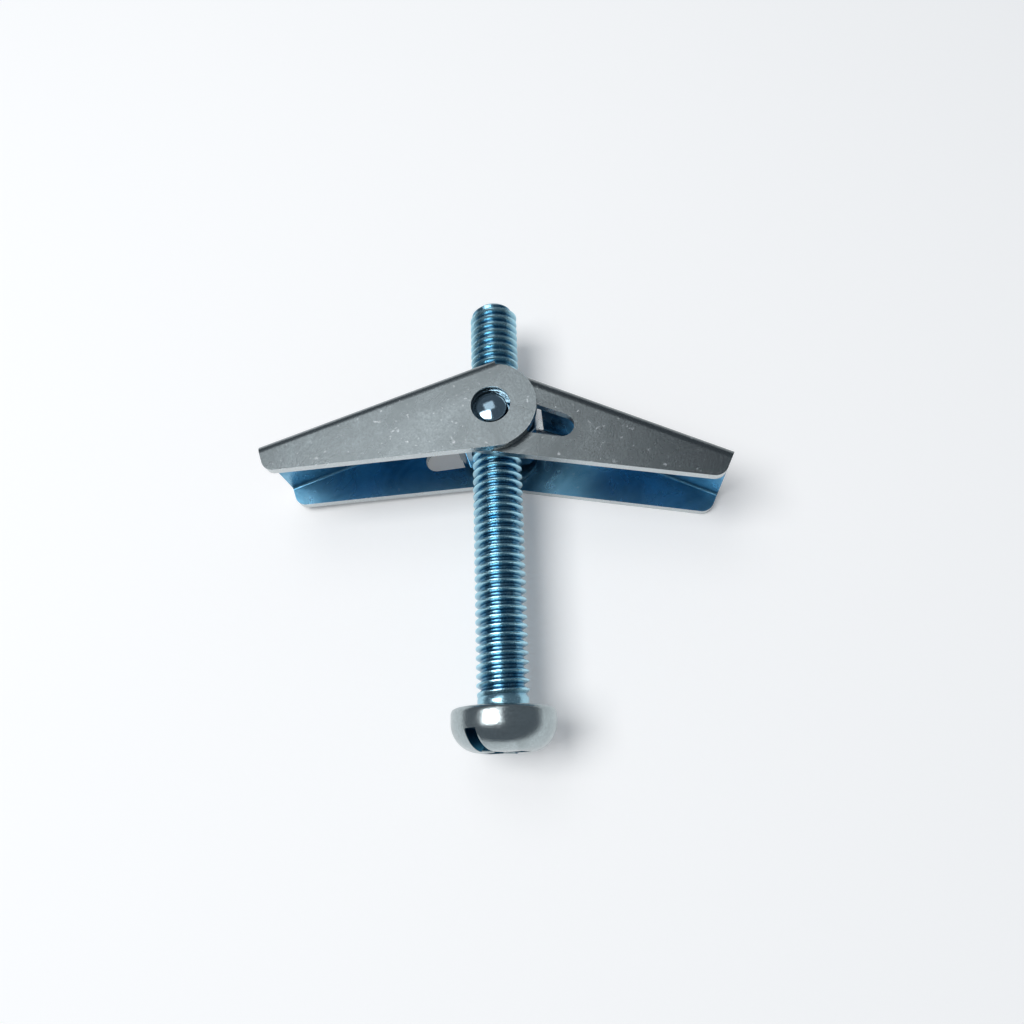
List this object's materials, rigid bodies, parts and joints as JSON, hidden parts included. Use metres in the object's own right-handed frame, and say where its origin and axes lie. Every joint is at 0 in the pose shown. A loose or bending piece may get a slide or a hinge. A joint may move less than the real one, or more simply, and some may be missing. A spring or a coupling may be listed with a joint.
{
  "type": "spring toggle bolt",
  "caption": "Pan head machine screw with a trunnion nut and a pair of pressed channel wings that a torsion spring holds open.",
  "frame": {"origin": "centre of the bearing face under the screw head, on the screw's axis", "axes": "+Y along the screw from the head to the tip, +X across the two wings, +Z along the nut's pins"},
  "size_m": [0.0548, 0.0546, 0.014],
  "materials": {
    "screw_zinc": "bright blue-white zinc plate",
    "nut_zinc": "bright zinc plate",
    "wing_zinc": "satin zinc plate",
    "spring_wire": "plain drawn wire"
  },
  "bodies": {
    "screw": {"screw": "screw_zinc"},
    "nut": {"trunnion_nut": "nut_zinc", "spring": "spring_wire"},
    "left_wing": {"wing_left": "wing_zinc"},
    "right_wing": {"wing_right": "wing_zinc"}
  },
  "joints": [
    {"name": "nut_travel", "type": "slide", "parent": "screw", "child": "nut", "axis": [0, 1, 0], "range_m": [-0.005, 0.011]},
    {"name": "left_wing_fold", "type": "hinge", "parent": "nut", "child": "left_wing", "pos_m": [0, 0.0336, 0], "axis": [0, 0, 1], "range_deg": [0, 64], "stiffness_Nm_per_rad": 0.02, "deforming": ["spring"]},
    {"name": "right_wing_fold", "type": "hinge", "parent": "nut", "child": "right_wing", "pos_m": [0, 0.0336, 0], "axis": [0, 0, -1], "range_deg": [-8, 56], "stiffness_Nm_per_rad": 0.02, "deforming": ["spring"]}
  ]
}
